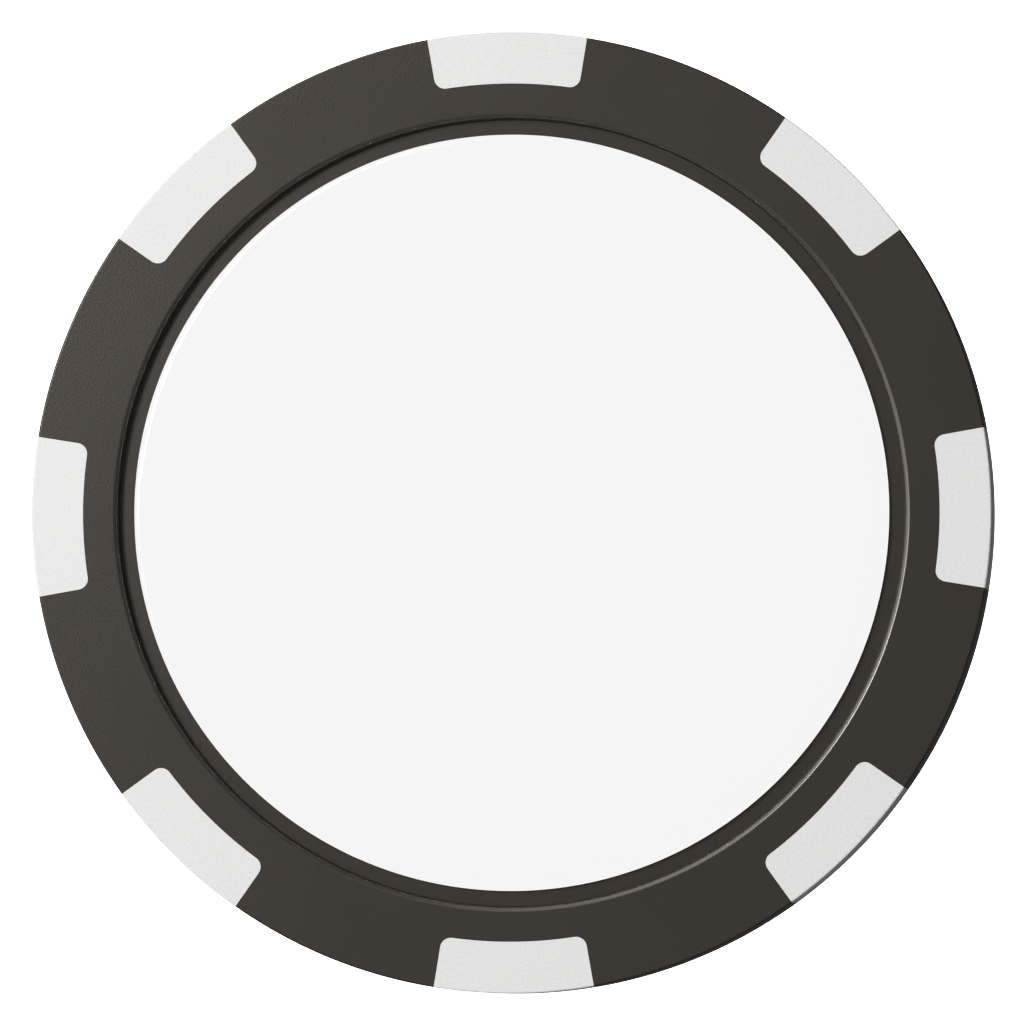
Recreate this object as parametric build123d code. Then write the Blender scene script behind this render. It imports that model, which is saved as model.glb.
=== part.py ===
from build123d import *
from math import cos, radians, sin, tan
import os

# A two-sided dealer button in the style of a composite poker chip: a dark
# moulded body with eight white edge spots, a steel weight sealed in its core,
# and a blank domed label bonded into a shallow recess on each face.
# Millimetres and degrees. The origin is the middle of the underside, and +Z
# is the button's axis.

# Body
button_diameter = 50.8
button_thickness = 5.0
rim_edge_radius = 0.1
rim_width = 4.63
recess_depth = 0.9
recess_wall_draft = 7.5
recess_lip_radius = 0.25

# Edge spots: white inserts through the rim, each locked by a hidden tongue
spot_count = 8
spot_angle = 19.2
spot_radial_depth = 2.73
spot_corner_radius = 0.57
tongue_side_step = 4.1
tongue_radial_depth = 0.9
tongue_height = 1.6
tongue_corner_radius = 0.3

# Steel weight in the core, and the holes left by the pins that held it
weight_diameter = 30.0
weight_thickness = 1.6
weight_edge_chamfer = 0.2
pin_hole_count = 3
pin_hole_diameter = 2.0
pin_hole_inset = 5.0

# Label stack in each recess
ledge_width = 0.79
adhesive_thickness = 0.05
adhesive_setback = 0.25
label_thickness = 0.12
dome_thickness = 0.4
dome_shoulder_width = 0.36
dome_shoulder_slope = 50

# Values that follow from the sizes above
button_radius = button_diameter / 2
mid_height = button_thickness / 2
recess_floor_radius = button_radius - rim_width
recess_floor_height = button_thickness - recess_depth
label_radius = recess_floor_radius - ledge_width
spot_inner_radius = button_radius - spot_radial_depth
tongue_angle = spot_angle - 2 * tongue_side_step
tongue_inner_radius = spot_inner_radius - tongue_radial_depth
weight_radius = weight_diameter / 2
weight_base = mid_height - weight_thickness / 2
weight_top = mid_height + weight_thickness / 2
pin_hole_circle_radius = weight_radius - pin_hole_inset
dome_shoulder_radius = dome_shoulder_width / sin(radians(dome_shoulder_slope))
dome_shoulder_drop = dome_shoulder_radius * (1 - cos(radians(dome_shoulder_slope)))


def turned(outline):
    """A solid of revolution from a closed outline of radius and height."""
    with BuildPart() as solid:
        with BuildSketch(Plane.XZ):
            make_face(outline)
        revolve(axis=Axis.Z)
    return solid.part


def disc(radius, base, thickness):
    """A plain round plate that stands on the given height."""
    return Pos(0, 0, base) * extrude(Circle(radius), thickness)


def other_face(solid):
    """The same piece on the underside, turned over about the X axis."""
    return Pos(0, 0, button_thickness) * Rot(180, 0, 0) * solid


def recess():
    """The space of the upper label recess, with its drafted wall and round lip."""
    flare = (recess_depth - recess_lip_radius) * tan(radians(recess_wall_draft))
    wall_top_radius = recess_floor_radius + flare
    lip_base = button_thickness - recess_lip_radius
    lip_outer_radius = wall_top_radius + recess_lip_radius
    lip_middle = (
        lip_outer_radius - recess_lip_radius * cos(radians(45)),
        lip_base + recess_lip_radius * sin(radians(45)),
    )
    axis_floor = (0, recess_floor_height)
    floor_edge = (recess_floor_radius, recess_floor_height)
    wall_top = (wall_top_radius, lip_base)
    lip_top = (lip_outer_radius, button_thickness)
    axis_top = (0, button_thickness)
    floor_and_wall = Polyline(axis_floor, floor_edge, wall_top)
    lip = ThreePointArc(wall_top, lip_middle, lip_top)
    closing = Polyline(lip_top, axis_top, axis_floor)
    return turned(floor_and_wall + lip + closing)


def button_blank():
    """The whole button's outside, with both recesses and the rounded rim."""
    blank = disc(button_radius, 0, button_thickness)
    rim_edges = blank.edges().filter_by(GeomType.CIRCLE)
    blank = fillet(rim_edges, rim_edge_radius)
    return blank - recess() - other_face(recess())


def sector(angle, inner_radius, outer_radius, corner_radius):
    """A flat sector about +X whose two inner corners are rounded."""
    half = radians(angle / 2)
    reach = outer_radius / cos(half)
    wedge = make_face(
        Polyline(
            (0, 0),
            (reach, -reach * tan(half)),
            (reach, reach * tan(half)),
            close=True,
        )
    )
    ring = Circle(outer_radius) - Circle(inner_radius)
    flat = (wedge & ring).face()
    inner_corners = flat.vertices().sort_by_distance((0, 0, 0))[:2]
    return fillet(inner_corners, corner_radius)


def spot_space(index):
    """The space of one edge spot through the rim, with its locking tongue."""
    clear_of_rim = 1.0
    outer_radius = button_radius + clear_of_rim
    through = sector(spot_angle, spot_inner_radius, outer_radius, spot_corner_radius)
    tongue = sector(tongue_angle, tongue_inner_radius, outer_radius, tongue_corner_radius)
    tongue_base = mid_height - tongue_height / 2
    space = extrude(through, button_thickness)
    space += Pos(0, 0, tongue_base) * extrude(tongue, tongue_height)
    return Rot(0, 0, index * 360 / spot_count) * space


def weight():
    """The steel slug, a stamped disc with broken edges."""
    slug = disc(weight_radius, weight_base, weight_thickness)
    return chamfer(slug.edges().filter_by(GeomType.CIRCLE), weight_edge_chamfer)


def pin_holes():
    """The holes that the support pins leave between each recess and the slug."""
    hole = disc(pin_hole_diameter / 2, weight_top, recess_floor_height - weight_top)
    circle = PolarLocations(pin_hole_circle_radius, pin_hole_count)
    upper = [place * hole for place in circle]
    return upper + [other_face(solid) for solid in upper]


def dome(base):
    """The poured clear resin: an upright foot and a shoulder that rounds into the flat top."""
    top = base + dome_thickness
    flat_radius = label_radius - dome_shoulder_width
    half_slope = radians(dome_shoulder_slope / 2)
    shoulder_middle = (
        flat_radius + dome_shoulder_radius * sin(half_slope),
        top - dome_shoulder_radius * (1 - cos(half_slope)),
    )
    shoulder_end = (label_radius, top - dome_shoulder_drop)
    underside_and_foot = Polyline((0, top), (0, base), (label_radius, base), shoulder_end)
    shoulder = ThreePointArc(shoulder_end, shoulder_middle, (flat_radius, top))
    flat_top = Line((flat_radius, top), (0, top))
    return turned(underside_and_foot + shoulder + flat_top)


def label_stack():
    """The bonded film, printed label and clear dome of the upper recess."""
    label_base = recess_floor_height + adhesive_thickness
    dome_base = label_base + label_thickness
    adhesive = disc(label_radius - adhesive_setback, recess_floor_height, adhesive_thickness)
    label = disc(label_radius, label_base, label_thickness)
    return {"label_adhesive": adhesive, "label": label, "dome": dome(dome_base)}


def build_nodes():
    """Every separate piece of the button by its node name."""
    blank = button_blank()
    spot_spaces = [spot_space(index) for index in range(spot_count)]
    slug = weight()
    body = blank - slug - spot_spaces - pin_holes()
    nodes = {"body": body, "weight_slug": slug}
    for index, space in enumerate(spot_spaces):
        nodes[f"edge_spot_{index + 1}"] = blank & space
    for name, piece in label_stack().items():
        nodes[f"front_{name}"] = piece
        nodes[f"back_{name}"] = other_face(piece)
    return nodes


os.makedirs("parts", exist_ok=True)
for name, piece in build_nodes().items():
    export_step(piece, f"parts/{name}.step")
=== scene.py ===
import bmesh
import bpy
import numpy as np
from mathutils import Matrix, Vector


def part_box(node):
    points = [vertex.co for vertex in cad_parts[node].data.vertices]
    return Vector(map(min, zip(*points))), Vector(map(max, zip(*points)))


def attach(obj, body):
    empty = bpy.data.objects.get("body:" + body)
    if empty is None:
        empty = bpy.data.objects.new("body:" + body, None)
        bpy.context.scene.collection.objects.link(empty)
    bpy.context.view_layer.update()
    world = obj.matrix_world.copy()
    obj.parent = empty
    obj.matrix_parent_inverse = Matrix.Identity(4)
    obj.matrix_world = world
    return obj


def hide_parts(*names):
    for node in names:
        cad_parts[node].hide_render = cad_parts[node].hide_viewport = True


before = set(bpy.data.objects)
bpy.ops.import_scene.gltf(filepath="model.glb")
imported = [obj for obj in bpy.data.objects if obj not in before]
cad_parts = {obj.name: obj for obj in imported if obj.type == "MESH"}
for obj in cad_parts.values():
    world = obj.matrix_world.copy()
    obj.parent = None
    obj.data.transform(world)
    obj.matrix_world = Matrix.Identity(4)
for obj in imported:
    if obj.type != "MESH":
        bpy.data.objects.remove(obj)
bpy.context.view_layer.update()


# ---------------------------------------------------------------------------
# Steel weight: a disc stamped from zinc-plated sheet, both edges broken. Pins
# hold it in the mould while the body is moulded round it, so it never shows.
# Lengths here and below are in millimetres until a mesh or material is made.
# ---------------------------------------------------------------------------

MM = 0.001
TURN = 2 * np.pi


def turned_surface(radii, heights, steps):
    """
    A surface of revolution as rings and two poles. Profile point i at turn j is
    x = r_i cos a_j, y = r_i sin a_j, z = h_i, with a_j = 2 pi j / steps. The end
    points lie on the axis. A profile that runs outwards, up and back in faces
    outwards.
    """
    r = np.asarray(radii, float)[1:-1, None]
    h = np.asarray(heights, float)[1:-1, None]
    a = np.linspace(0, TURN, steps, endpoint=False)[None, :]
    rings = np.stack([r * np.cos(a), r * np.sin(a), h + 0 * a], axis=-1)
    poles = np.array([[0, 0, heights[0]], [0, 0, heights[-1]]], float)
    return rings, poles


def ring_faces(rows, steps):
    """Quads between neighbouring rings, and a fan from each end ring to its pole."""
    i, j = np.meshgrid(np.arange(rows - 1), np.arange(steps), indexing="ij")
    k = (j + 1) % steps
    quads = np.stack([i * steps + j, i * steps + k, (i + 1) * steps + k, (i + 1) * steps + j], axis=-1)
    around = np.arange(steps)
    beside = (around + 1) % steps
    first_pole = np.full(steps, rows * steps)
    last = (rows - 1) * steps
    first_fan = np.stack([first_pole, beside, around], axis=-1)
    last_fan = np.stack([first_pole + 1, last + around, last + beside], axis=-1)
    return quads.reshape(-1, 4), np.concatenate([first_fan, last_fan])


def weld(mesh):
    """Joins points that share a place and drops the faces that close up."""
    shape = bmesh.new()
    shape.from_mesh(mesh)
    bmesh.ops.remove_doubles(shape, verts=shape.verts[:], dist=0.0001 * MM)
    shape.to_mesh(mesh)
    shape.free()


def crisp_flats(mesh):
    """Makes sharp every edge where a level face ends, so level faces shade level."""
    edge_of_corner = np.empty(len(mesh.loops), np.int32)
    mesh.loops.foreach_get("edge_index", edge_of_corner)
    corners = np.empty(len(mesh.polygons), np.int32)
    mesh.polygons.foreach_get("loop_total", corners)
    normals = np.empty(3 * len(mesh.polygons), np.float32)
    mesh.polygons.foreach_get("normal", normals)
    level = np.abs(normals[2::3]) > 0.99999
    level_sides = np.zeros(len(mesh.edges), np.int32)
    np.add.at(level_sides, edge_of_corner, np.repeat(level, corners))
    sharp = np.empty(len(mesh.edges), bool)
    mesh.edges.foreach_get("use_edge_sharp", sharp)
    mesh.edges.foreach_set("use_edge_sharp", sharp | (level_sides == 1))


def build_piece(name, shells, node, material):
    """
    One mesh object from closed shells, each a stack of rings with two poles.
    It stands for the CAD node and rides on the button's one body.
    """
    points, faces, count = [], [], 0
    for rings, poles in shells:
        rows, steps = rings.shape[:2]
        quads, fans = ring_faces(rows, steps)
        points.append(np.concatenate([rings.reshape(-1, 3), poles]))
        faces += (quads + count).tolist() + (fans + count).tolist()
        count += rows * steps + 2
    mesh = bpy.data.meshes.new(name)
    mesh.from_pydata(np.concatenate(points) * MM, [], faces)
    weld(mesh)
    mesh.shade_smooth()
    mesh.set_sharp_from_angle(angle=np.radians(35))
    crisp_flats(mesh)
    mesh.materials.append(material)
    piece = bpy.data.objects.new(name, mesh)
    bpy.context.scene.collection.objects.link(piece)
    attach(piece, "root")
    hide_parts(node)


def new_material(name):
    """A node material's node tree and its Principled shader, and the material."""
    material = bpy.data.materials.new(name)
    material.use_nodes = True
    return material, material.node_tree, material.node_tree.nodes["Principled BSDF"]


def object_place(tree):
    """The point on the piece, in metres."""
    return tree.nodes.new("ShaderNodeTexCoord").outputs["Object"]


def fill(tree, socket, value):
    """Links a socket to the input, or sets the input to a plain value."""
    if isinstance(value, bpy.types.NodeSocket):
        tree.links.new(value, socket)
    else:
        socket.default_value = value


def add_noise(tree, place, scale, detail=2.0, roughness=0.5):
    """A noise value with the given number of features per metre."""
    node = tree.nodes.new("ShaderNodeTexNoise")
    node.inputs["Detail"].default_value = detail
    node.inputs["Roughness"].default_value = roughness
    tree.links.new(place, node.inputs["Vector"])
    fill(tree, node.inputs["Scale"], scale)
    return node.outputs["Fac"]


def add_remap(tree, value, low, high, new_low, new_high):
    """Carries low..high onto new_low..new_high, held at the ends."""
    node = tree.nodes.new("ShaderNodeMapRange")
    for socket, number in zip(node.inputs[:5], (value, low, high, new_low, new_high)):
        fill(tree, socket, number)
    return node.outputs["Result"]


def add_tint(tree, factor, first, second):
    """A colour between two plain colours, by a factor socket."""
    node = tree.nodes.new("ShaderNodeMix")
    node.data_type = "RGBA"
    tree.links.new(factor, node.inputs["Factor"])
    node.inputs["A"].default_value = (*first, 1)
    node.inputs["B"].default_value = (*second, 1)
    return node.outputs["Result"]


def add_bump(tree, shader, height, distance):
    """Feeds a height, in units of the given distance in metres, to the shader's normal."""
    node = tree.nodes.new("ShaderNodeBump")
    node.inputs["Distance"].default_value = distance
    tree.links.new(height, node.inputs["Height"])
    tree.links.new(node.outputs["Normal"], shader.inputs["Normal"])


weight_low, weight_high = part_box("weight_slug")
weight_radius = weight_high.x / MM
weight_base = weight_low.z / MM
weight_top = weight_high.z / MM
weight_chamfer = 0.2
weight_steps = 192
weight_profile = [
    (0, weight_base),
    (weight_radius * 0.5, weight_base),
    (weight_radius - weight_chamfer, weight_base),
    (weight_radius, weight_base + weight_chamfer),
    (weight_radius, weight_top - weight_chamfer),
    (weight_radius - weight_chamfer, weight_top),
    (weight_radius * 0.5, weight_top),
    (0, weight_top),
]

plated_steel, tree, shader = new_material("plated_steel")
place = object_place(tree)
spangle = tree.nodes.new("ShaderNodeTexVoronoi")
spangle.inputs["Scale"].default_value = 900
tree.links.new(place, spangle.inputs["Vector"])
spangle_tone = tree.nodes.new("ShaderNodeSeparateColor")
tree.links.new(spangle.outputs["Color"], spangle_tone.inputs["Color"])
steel_colour = add_tint(tree, spangle_tone.outputs[0], (0.50, 0.51, 0.53), (0.60, 0.61, 0.62))
tree.links.new(steel_colour, shader.inputs["Base Color"])
steel_sheen = add_remap(tree, add_noise(tree, place, 2500), 0.3, 0.7, 0.28, 0.42)
tree.links.new(steel_sheen, shader.inputs["Roughness"])
shader.inputs["Metallic"].default_value = 1.0
add_bump(tree, shader, add_noise(tree, place, 6000), 0.000004)

weight_shell = turned_surface(*zip(*weight_profile), weight_steps)
build_piece("weight_slug_stamped", [weight_shell], "weight_slug", plated_steel)


# ---------------------------------------------------------------------------
# Body: dark composite plastic, moulded in one shot round the weight. Eight
# notches for the edge spots run through the rim, each with a deeper keyway at
# mid height, and each face has a shallow recess with a small rounded lip.
# ---------------------------------------------------------------------------

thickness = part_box("body")[1].z / MM
rim_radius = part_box("edge_spot_1")[1].x / MM
floor_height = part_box("front_label_adhesive")[0].z / MM

spot_count = 8
spot_half_angle = np.radians(9.6)
spot_inner_radius = rim_radius - 2.73
spot_corner = 0.57
key_half_angle = np.radians(5.5)
key_inner_radius = spot_inner_radius - 0.9
key_corner = 0.3
key_height = 1.6
rim_round = 0.1
recess_radius = rim_radius - 4.63
lip_round = 0.25
wall_draft = np.radians(7.5)
wall_top_radius = recess_radius + (thickness - floor_height - lip_round) * np.tan(wall_draft)
lip_radius = wall_top_radius + lip_round
ahead_angle = 0.006
corner_points = 10
wall_points = 4


def corner_arc(corner_radius, inner_radius, half_angle, points):
    """
    The round between a sector's inner arc and its radial side, as radius and
    angle. Its centre is one corner radius c from both, at radius R = inner + c
    and angle half - asin(c / R). The arc turns from facing the axis to facing
    the side.
    """
    centre_radius = inner_radius + corner_radius
    centre_angle = half_angle - np.arcsin(corner_radius / centre_radius)
    turn = np.linspace(np.pi + centre_angle, np.pi / 2 + half_angle, points)
    x = centre_radius * np.cos(centre_angle) + corner_radius * np.cos(turn)
    y = centre_radius * np.sin(centre_angle) + corner_radius * np.sin(turn)
    return np.hypot(x, y), np.arctan2(y, x)


def notch_edge():
    """
    Half of one notch, from its middle to its side's outer end, as radius and
    angle: once plain and once keyed. Both run along the inner arc, a corner
    round and a radial side. The keyed one first steps inwards round the
    keyway. Point for point they belong together.
    """
    key_r, key_a = corner_arc(key_corner, key_inner_radius, key_half_angle, 5)
    bottom_a = np.linspace(0, key_a[0], 5)[:-1]
    side_r = np.linspace(key_r[-1], spot_inner_radius, 3)[1:]
    keyed_r = np.concatenate([0 * bottom_a + key_inner_radius, key_r, side_r])
    keyed_a = np.concatenate([bottom_a, key_a, 0 * side_r + key_half_angle])
    plain_a = np.linspace(0, key_half_angle, len(keyed_a))
    plain_r = 0 * plain_a + spot_inner_radius
    round_r, round_a = corner_arc(spot_corner, spot_inner_radius, spot_half_angle, corner_points)
    arc_a = np.linspace(key_half_angle, round_a[0], 4)[1:-1]
    wall_r = np.linspace(round_r[-1], rim_radius, wall_points + 1)[1:]
    shared_r = np.concatenate([0 * arc_a + spot_inner_radius, round_r, wall_r])
    shared_a = np.concatenate([arc_a, round_a, 0 * wall_r + spot_half_angle])
    plain = np.concatenate([plain_r, shared_r]), np.concatenate([plain_a, shared_a])
    keyed = np.concatenate([keyed_r, shared_r]), np.concatenate([keyed_a, shared_a])
    return plain, keyed


def mirrored(radius, angle):
    """The half and its mirror image as one run of angles from low to high."""
    return np.concatenate([radius[:0:-1], radius]), np.concatenate([-angle[:0:-1], angle])


def quarter_round(radius, points):
    """A quarter round that leaves a flat: along = r sin t, away = r (1 - cos t)."""
    turn = np.linspace(0, np.pi / 2, points)
    return radius * np.sin(turn), radius * (1 - np.cos(turn))


def rim_rows():
    """
    The rim's rows from the lower face to the upper: for each its height, the
    rounded rim's radius there, and whether the notches are keyed there.
    """
    along, away = quarter_round(rim_round, 8)
    flat_radius = rim_radius - rim_round
    low = [(z, flat_radius + x, False) for x, z in zip(along, away)]
    high = [(thickness - z, radius, keyed) for z, radius, keyed in reversed(low)]
    key_base = (thickness - key_height) / 2
    key_top = (thickness + key_height) / 2
    key = [(key_base, rim_radius, False), (key_base, rim_radius, True)]
    key += [(key_top, rim_radius, True), (key_top, rim_radius, False)]
    return low + key + high


def all_round(run, step):
    """One spot's run of values repeated for every spot, each time a step further."""
    return (np.arange(spot_count)[:, None] * step + run[None, :]).ravel()


def body_shell():
    """
    The body as rings from the lower pole to the upper. Inside the lip a ring is
    a circle. On the faces' outer edge and up the rim it is the contour of eight
    notches and rim arcs, held within the rounded rim's radius. Beside a notch
    the circles' angles run ahead of the contour's, so no face crosses a notch.
    """
    pitch = TURN / spot_count
    plain, keyed = notch_edge()
    rim_a = np.linspace(spot_half_angle, pitch / 2, 17)[1:-1]
    rim_r = 0 * rim_a + rim_radius
    inner_count = len(plain[1]) - wall_points - corner_points
    beside_corner = spot_half_angle + ahead_angle
    inner_a = plain[1][:inner_count]
    round_a = np.linspace(plain[1][inner_count], beside_corner, corner_points)
    outer_a = np.linspace(beside_corner, pitch / 2, wall_points + len(rim_a) + 2)[1:-1]
    ahead = np.concatenate([inner_a, round_a, outer_a])
    circle_a = all_round(mirrored(ahead, ahead)[1], pitch)
    along, away = quarter_round(lip_round, 10)
    recess_depth = thickness - floor_height
    face_rows = [(recess_radius * share, -recess_depth) for share in (0.3, 0.7, 1.0)]
    face_rows += list(zip(lip_radius - along, -away))[::-1]
    face_rows += [((lip_radius + spot_inner_radius) / 2, 0)]

    def ring(radius, angle, height):
        return np.stack([radius * np.cos(angle), radius * np.sin(angle), height + 0 * angle], -1)

    def contour(height, limit, is_keyed):
        edge_r, edge_a = keyed if is_keyed else plain
        run_r, run_a = mirrored(np.concatenate([edge_r, rim_r]), np.concatenate([edge_a, rim_a]))
        radius = np.minimum(all_round(run_r, 0), limit)
        return ring(radius, all_round(run_a, pitch), height)

    rows = [ring(radius, circle_a, -height) for radius, height in face_rows]
    rows += [contour(*row) for row in rim_rows()]
    rows += [ring(radius, circle_a, thickness + height) for radius, height in reversed(face_rows)]
    poles = np.array([[0, 0, recess_depth], [0, 0, floor_height]])
    return np.stack(rows), poles


def add_math(tree, operation, first, second=None, third=None):
    """A Math node on sockets or plain numbers, giving its result."""
    node = tree.nodes.new("ShaderNodeMath")
    node.operation = operation
    for socket, value in zip(node.inputs, (first, second, third)):
        if value is not None:
            fill(tree, socket, value)
    return node.outputs[0]


def new_effect(name, inputs, outputs):
    """A shader node group. The input called Place is a vector, the rest are numbers."""
    effect = bpy.data.node_groups.new(name, "ShaderNodeTree")
    for socket in inputs:
        kind = "NodeSocketVector" if socket == "Place" else "NodeSocketFloat"
        effect.interface.new_socket(socket, in_out="INPUT", socket_type=kind)
    for socket in outputs:
        effect.interface.new_socket(socket, in_out="OUTPUT", socket_type="NodeSocketFloat")
    arriving = effect.nodes.new("NodeGroupInput").outputs
    leaving = effect.nodes.new("NodeGroupOutput").inputs
    return effect, arriving, leaving


def add_effect(tree, effect, place, **values):
    """A node group placed in a material with its own values, giving its outputs."""
    node = tree.nodes.new("ShaderNodeGroup")
    node.node_tree = effect
    tree.links.new(place, node.inputs["Place"])
    for name, value in values.items():
        node.inputs[name].default_value = value
    return node.outputs


# Fine surface grain, small flecks of filler, and slow clouds of sheen.
composite_grain, arriving, leaving = new_effect(
    "composite_grain", ["Place", "Grain", "Speckle"], ["Height", "Fleck", "Cloud"])
grain_height = add_noise(composite_grain, arriving["Place"], arriving["Grain"], 3.0, 0.6)
fleck_noise = add_noise(composite_grain, arriving["Place"], arriving["Speckle"], 1.0)
fleck = add_remap(composite_grain, fleck_noise, 0.40, 0.62, 0.0, 1.0)
cloud = add_noise(composite_grain, arriving["Place"], 160.0)
composite_grain.links.new(grain_height, leaving["Height"])
composite_grain.links.new(fleck, leaving["Fleck"])
composite_grain.links.new(cloud, leaving["Cloud"])

# The band between two radii about the button's axis, where handling polishes an edge.
edge_polish, arriving, leaving = new_effect("edge_polish", ["Place", "Inner", "Outer"], ["Mask"])
flattened = edge_polish.nodes.new("ShaderNodeVectorMath")
flattened.operation = "MULTIPLY"
flattened.inputs[1].default_value = (1, 1, 0)
edge_polish.links.new(arriving["Place"], flattened.inputs[0])
from_axis = edge_polish.nodes.new("ShaderNodeVectorMath")
from_axis.operation = "LENGTH"
edge_polish.links.new(flattened.outputs[0], from_axis.inputs[0])
beyond = add_math(edge_polish, "GREATER_THAN", from_axis.outputs["Value"], arriving["Inner"])
within = add_math(edge_polish, "LESS_THAN", from_axis.outputs["Value"], arriving["Outer"])
edge_polish.links.new(add_math(edge_polish, "MULTIPLY", beyond, within), leaving["Mask"])

dark_composite, tree, shader = new_material("dark_composite")
place = object_place(tree)
grain = add_effect(tree, composite_grain, place, Grain=9000.0, Speckle=14000.0)
dark_colour = add_tint(tree, grain["Fleck"], (0.0202, 0.0170, 0.0147), (0.0230, 0.0194, 0.0168))
tree.links.new(dark_colour, shader.inputs["Base Color"])
composite_sheen = add_remap(tree, grain["Cloud"], 0.3, 0.7, 0.27, 0.29)
tree.links.new(composite_sheen, shader.inputs["Roughness"])
polish_inner = (wall_top_radius - 0.01) * MM
polish_outer = (lip_radius - 0.004) * MM
lip = add_effect(tree, edge_polish, place, Inner=polish_inner, Outer=polish_outer)
tree.links.new(add_math(tree, "MULTIPLY", lip["Mask"], 0.4), shader.inputs["Coat Weight"])
shader.inputs["Coat Roughness"].default_value = 0.18
shader.inputs["IOR"].default_value = 1.5
shader.inputs["Specular IOR Level"].default_value = 0.18
shader.inputs["Specular Tint"].default_value = (1.0, 0.92, 0.82, 1)
add_bump(tree, shader, grain["Height"], 0.000006)

weight_space = turned_surface(*zip(*reversed(weight_profile)), weight_steps)
build_piece("body_moulded", [body_shell(), weight_space], "body", dark_composite)


# ---------------------------------------------------------------------------
# Edge spots: eight white composite inserts, the second shot of the moulding.
# Each fills a notch through the rim flush with both faces, and the tongue on
# its back fills the keyway, so it can't be pulled out.
# ---------------------------------------------------------------------------


def spot_shell(index):
    """
    One spot as rings about its own middle: the notch contour closed by the rim
    arc. On a face, each ring is the outline drawn in towards the middle point
    m, so p = m + share (outline - m).
    """
    plain, keyed = notch_edge()
    turn = index * TURN / spot_count
    rim_a = np.linspace(spot_half_angle, -spot_half_angle, 25)[1:-1]
    rim_r = 0 * rim_a + rim_radius

    def contour(limit, is_keyed):
        edge_r, edge_a = mirrored(*(keyed if is_keyed else plain))
        radius = np.minimum(np.concatenate([edge_r, rim_r]), limit)
        angle = np.concatenate([edge_a, rim_a]) + turn
        return np.stack([radius * np.cos(angle), radius * np.sin(angle)], -1)

    def at_height(flat, height):
        return np.concatenate([flat, np.full((len(flat), 1), height)], axis=1)

    flat_radius = rim_radius - rim_round
    middle = (spot_inner_radius + flat_radius) / 2 * np.array([np.cos(turn), np.sin(turn)])
    outline = contour(flat_radius, False)
    drawn_in = [middle + share * (outline - middle) for share in (0.35, 0.7)]
    rows = [at_height(flat, 0.0) for flat in drawn_in]
    rows += [at_height(contour(limit, is_keyed), height) for height, limit, is_keyed in rim_rows()]
    rows += [at_height(flat, thickness) for flat in reversed(drawn_in)]
    poles = np.array([[*middle, 0.0], [*middle, thickness]])
    return np.stack(rows), poles


white_composite, tree, shader = new_material("white_composite")
place = object_place(tree)
grain = add_effect(tree, composite_grain, place, Grain=9000.0, Speckle=7000.0)
white_colour = add_tint(tree, grain["Fleck"], (0.585, 0.585, 0.581), (0.617, 0.617, 0.613))
tree.links.new(white_colour, shader.inputs["Base Color"])
composite_sheen = add_remap(tree, grain["Cloud"], 0.3, 0.7, 0.27, 0.29)
tree.links.new(composite_sheen, shader.inputs["Roughness"])
shader.inputs["IOR"].default_value = 1.5
shader.inputs["Specular IOR Level"].default_value = 0.18
add_bump(tree, shader, grain["Height"], 0.000006)

for index in range(spot_count):
    node = f"edge_spot_{index + 1}"
    build_piece(node + "_insert", [spot_shell(index)], node, white_composite)


# ---------------------------------------------------------------------------
# Label stack, one in each recess: an acrylic adhesive film, a blank white
# vinyl label, and clear resin poured on it, which stops at the label's edge
# with a rounded shoulder. The resin is bonded to the vinyl with no air between.
# ---------------------------------------------------------------------------

film_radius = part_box("front_label_adhesive")[1].x / MM
label_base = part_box("front_label")[0].z / MM
label_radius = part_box("front_label")[1].x / MM
dome_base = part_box("front_dome")[0].z / MM
dome_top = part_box("front_dome")[1].z / MM
shoulder_width = 0.36
shoulder_slope = np.radians(50)
bond = 0.004
label_steps = 384


def plate_shell(radius, low, high):
    """A plain round plate: level, upright edge, level."""
    radii = [0, radius * 0.6, radius, radius, radius * 0.6, 0]
    return turned_surface(radii, [low, low, low, high, high, high], label_steps)


def dome_shell():
    """
    The resin: an upright foot, a shoulder, and a flat top. The shoulder is an
    arc that leaves the flat level and meets the foot at the shoulder's slope:
    r = flat + R sin t, z = top - R (1 - cos t), with R = width / sin(slope).
    """
    flat_radius = label_radius - shoulder_width
    arc_radius = shoulder_width / np.sin(shoulder_slope)
    turn = np.linspace(shoulder_slope, 0, 16)
    base = dome_base - bond
    radii = [0, label_radius * 0.6, label_radius]
    radii += (flat_radius + arc_radius * np.sin(turn)).tolist()
    radii += [label_radius * 0.6, 0]
    heights = [base, base, base]
    heights += (dome_top - arc_radius * (1 - np.cos(turn))).tolist()
    heights += [dome_top, dome_top]
    return turned_surface(radii, heights, label_steps)


def turned_over(shell):
    """The shell on the underside, half a turn about X: y to -y, z to thickness - z."""
    rings, poles = shell
    flip, lift = np.array([1, -1, -1]), np.array([0, 0, thickness])
    return rings * flip + lift, poles * flip + lift


adhesive, tree, shader = new_material("acrylic_adhesive")
place = object_place(tree)
adhesive_colour = add_tint(tree, add_noise(tree, place, 900), (0.70, 0.68, 0.60), (0.80, 0.78, 0.72))
tree.links.new(adhesive_colour, shader.inputs["Base Color"])
shader.inputs["Roughness"].default_value = 0.5
shader.inputs["Transmission Weight"].default_value = 0.3
add_bump(tree, shader, add_noise(tree, place, 1500), 0.00001)

white_vinyl, tree, shader = new_material("white_vinyl")
place = object_place(tree)
vinyl_colour = add_tint(tree, add_noise(tree, place, 3000), (0.805, 0.805, 0.805), (0.815, 0.815, 0.815))
tree.links.new(vinyl_colour, shader.inputs["Base Color"])
shader.inputs["Roughness"].default_value = 0.6
shader.inputs["Specular IOR Level"].default_value = 0.0

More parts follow.
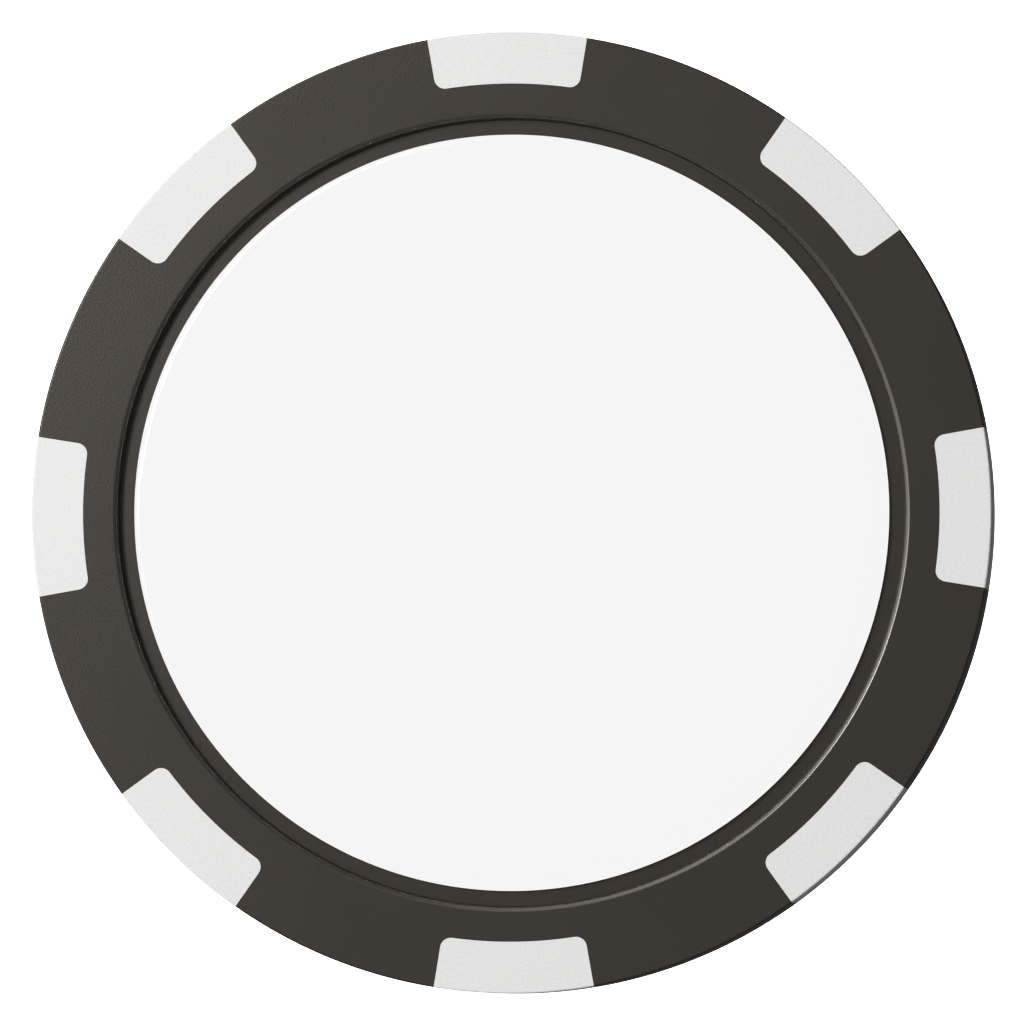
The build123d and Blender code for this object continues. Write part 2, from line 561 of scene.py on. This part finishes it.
# Clear resin bends what is seen through it, and lets part of the lamplight straight through.
clear_resin, tree, shader = new_material("clear_resin")
place = object_place(tree)
shader.inputs["Base Color"].default_value = (1, 1, 1, 1)
shader.inputs["Transmission Weight"].default_value = 1.0
shader.inputs["IOR"].default_value = 1.5
resin_sheen = add_remap(tree, add_noise(tree, place, 300), 0.3, 0.7, 0.015, 0.03)
tree.links.new(resin_sheen, shader.inputs["Roughness"])
lamplight = tree.nodes.new("ShaderNodeBsdfTransparent")
lamplight.inputs["Color"].default_value = (0.72, 0.72, 0.72, 1)
ray = tree.nodes.new("ShaderNodeLightPath")
either = tree.nodes.new("ShaderNodeMixShader")
tree.links.new(ray.outputs["Is Shadow Ray"], either.inputs["Fac"])
tree.links.new(shader.outputs["BSDF"], either.inputs[1])
tree.links.new(lamplight.outputs["BSDF"], either.inputs[2])
tree.links.new(either.outputs["Shader"], tree.nodes["Material Output"].inputs["Surface"])

film_shell = plate_shell(film_radius, floor_height, label_base)
label_shell = plate_shell(label_radius - bond, label_base, dome_base)
stack = (
    ("label_adhesive", "film", film_shell, "adhesive_film", adhesive),
    ("label", "vinyl", label_shell, "white_label", white_vinyl),
    ("dome", "resin", dome_shell(), "clear_dome", clear_resin),
)
for side in ("front", "back"):
    for part, stuff, shell, slot, material in stack:
        placed = turned_over(shell) if side == "back" else shell
        build_piece(f"{side}_{part}_{stuff}", [placed], f"{side}_{part}", material)


# ---------------------------------------------------------------------------
# Studio: a lit white table that only the camera sees, a key lamp high on the
# left, a wide low panel behind it that only shines in glossy edges, and a dim
# sky that is brighter on the lamp's side.
# ---------------------------------------------------------------------------


def direction_to(azimuth, elevation):
    """
    Unit vector at azimuth a from +X towards +Y and elevation e, in degrees:
    x = cos a cos e, y = sin a cos e, z = sin e.
    """
    a, e = np.radians(azimuth), np.radians(elevation)
    return Vector((np.cos(a) * np.cos(e), np.sin(a) * np.cos(e), np.sin(e)))


def add_glowing_sheet(name, points, faces):
    """A one-sided mesh of the set with a plain glow, giving it and its glow's nodes."""
    mesh = bpy.data.meshes.new(name)
    mesh.from_pydata(points, [], faces)
    sheet = bpy.data.objects.new(name, mesh)
    bpy.context.scene.collection.objects.link(sheet)
    glowing = bpy.data.materials.new(name)
    glowing.use_nodes = True
    tree = glowing.node_tree
    tree.nodes.clear()
    glow = tree.nodes.new("ShaderNodeEmission")
    output = tree.nodes.new("ShaderNodeOutputMaterial")
    tree.links.new(glow.outputs[0], output.inputs["Surface"])
    mesh.materials.append(glowing)
    sheet.visible_diffuse = False
    sheet.visible_transmission = False
    sheet.visible_shadow = False
    return sheet, tree, glow


table_reach = 3.0
table_height = -0.00002
table_corners = [
    (-table_reach, -table_reach, table_height),
    (table_reach, -table_reach, table_height),
    (table_reach, table_reach, table_height),
    (-table_reach, table_reach, table_height),
]
white_glow = 3.0
table, tree, glow = add_glowing_sheet("light_table", table_corners, [(0, 1, 2, 3)])
table.visible_glossy = False
glow.inputs["Strength"].default_value = white_glow


def panel_patch(azimuths, elevations, radius, count):
    """
    A patch of a sphere: azimuth u and elevation v give
    x = R cos v cos u, y = R cos v sin u, z = R sin v.
    """
    along = np.radians(np.linspace(*azimuths, count))
    upwards = np.radians(np.linspace(*elevations, count))
    u, v = np.meshgrid(along, upwards)
    points = radius * np.stack([np.cos(v) * np.cos(u), np.cos(v) * np.sin(u), np.sin(v)], -1)
    i, j = np.meshgrid(np.arange(count - 1), np.arange(count - 1), indexing="ij")
    corner = i * count + j
    quads = np.stack([corner, corner + count, corner + count + 1, corner + 1], -1)
    return points.reshape(-1, 3), quads.reshape(-1, 4).tolist()


panel_middle = direction_to(148, 0)
panel_glow = 5.0
panel_points, panel_quads = panel_patch((76, 220), (2, 66), 0.6, 33)
panel, tree, glow = add_glowing_sheet("wide_panel", panel_points, panel_quads)
panel.visible_camera = False
glow.inputs["Color"].default_value = (1, 0.97, 0.93, 1)
level_place = tree.nodes.new("ShaderNodeVectorMath")
level_place.operation = "MULTIPLY"
level_place.inputs[1].default_value = (1, 1, 0)
tree.links.new(object_place(tree), level_place.inputs[0])
bearing = tree.nodes.new("ShaderNodeVectorMath")
bearing.operation = "NORMALIZE"
tree.links.new(level_place.outputs[0], bearing.inputs[0])
sideways = tree.nodes.new("ShaderNodeVectorMath")
sideways.operation = "DOT_PRODUCT"
sideways.inputs[1].default_value = panel_middle
tree.links.new(bearing.outputs[0], sideways.inputs[0])
fade = (np.cos(np.radians(72)), np.cos(np.radians(28)))
panel_strength = add_remap(tree, sideways.outputs["Value"], *fade, 0.0, panel_glow)
tree.links.new(panel_strength, glow.inputs["Strength"])

key_direction = direction_to(154, 63.5)
key_distance = 0.37
key_size = 0.09
key_power = 1.11
key_data = bpy.data.lights.new("hot_lamp", "AREA")
key_data.shape = "DISK"
key_data.size = key_size
key_data.energy = key_power
key_lamp = bpy.data.objects.new("hot_lamp", key_data)
key_lamp.location = key_direction * key_distance + Vector((0, 0, thickness * MM))
key_lamp.rotation_euler = key_direction.to_track_quat("Z", "Y").to_euler()
key_lamp.visible_transmission = False
bpy.context.scene.collection.objects.link(key_lamp)

world = bpy.data.worlds.new("studio")
bpy.context.scene.world = world
world.use_nodes = True
tree = world.node_tree
sky_direction = tree.nodes.new("ShaderNodeTexCoord").outputs["Generated"]
sky_split = tree.nodes.new("ShaderNodeSeparateXYZ")
tree.links.new(sky_direction, sky_split.inputs[0])
above = add_remap(tree, sky_split.outputs["Z"], -0.15, 0.25, 0.07, 0.55)
lampwards = tree.nodes.new("ShaderNodeVectorMath")
lampwards.operation = "DOT_PRODUCT"
lampwards.inputs[1].default_value = direction_to(175, 0)
tree.links.new(sky_direction, lampwards.inputs[0])
side_share = add_math(tree, "MULTIPLY_ADD", lampwards.outputs["Value"], 0.6, 1.0)
sky = add_math(tree, "MULTIPLY", above, side_share)
path = tree.nodes.new("ShaderNodeLightPath")
backdrop = add_remap(tree, path.outputs["Is Camera Ray"], 0.0, 1.0, sky, white_glow)
background = tree.nodes["Background"]
background.inputs["Color"].default_value = (1, 1, 1, 1)
tree.links.new(backdrop, background.inputs["Strength"])


# ---------------------------------------------------------------------------
# Camera: a long lens that looks almost straight down, a little from the lower
# right and a little rolled. The tone curve is straight for all but the
# brightest whites, which it rolls off as film does.
# ---------------------------------------------------------------------------

camera_distance = 0.75
frame_width = 0.05404
camera_roll = np.radians(0.4)
aim = Vector((0.000086, 0.000005, thickness * MM))
back = direction_to(-28, 90 - 4.7)
level_up = Vector((np.sin(camera_roll), np.cos(camera_roll), 0))
right = level_up.cross(back).normalized()
upright = back.cross(right).normalized()
position = aim + back * camera_distance

camera_data = bpy.data.cameras.new("camera")
camera_data.sensor_width = 36
camera_data.lens = camera_data.sensor_width * camera_distance / frame_width
camera_data.clip_start = 0.01
camera = bpy.data.objects.new("camera", camera_data)
camera.matrix_world = Matrix((
    (right.x, upright.x, back.x, position.x),
    (right.y, upright.y, back.y, position.y),
    (right.z, upright.z, back.z, position.z),
    (0, 0, 0, 1),
))
bpy.context.scene.collection.objects.link(camera)
bpy.context.scene.camera = camera

view = bpy.context.scene.view_settings
view.view_transform = "Standard"
view.use_curve_mapping = True
tone = view.curve_mapping
tone.clip_max_x = 2.5
tone.clip_max_y = 1.2
combined = tone.curves[3]
combined.points[1].location = (2.5, 1.02)
for scene_value, shown_value in ((0.80, 0.80), (0.87, 0.865), (1.0, 0.905), (1.22, 0.922), (1.30, 1.01)):
    combined.points.new(scene_value, shown_value)
for point in combined.points:
    point.handle_type = "VECTOR"
tone.update()
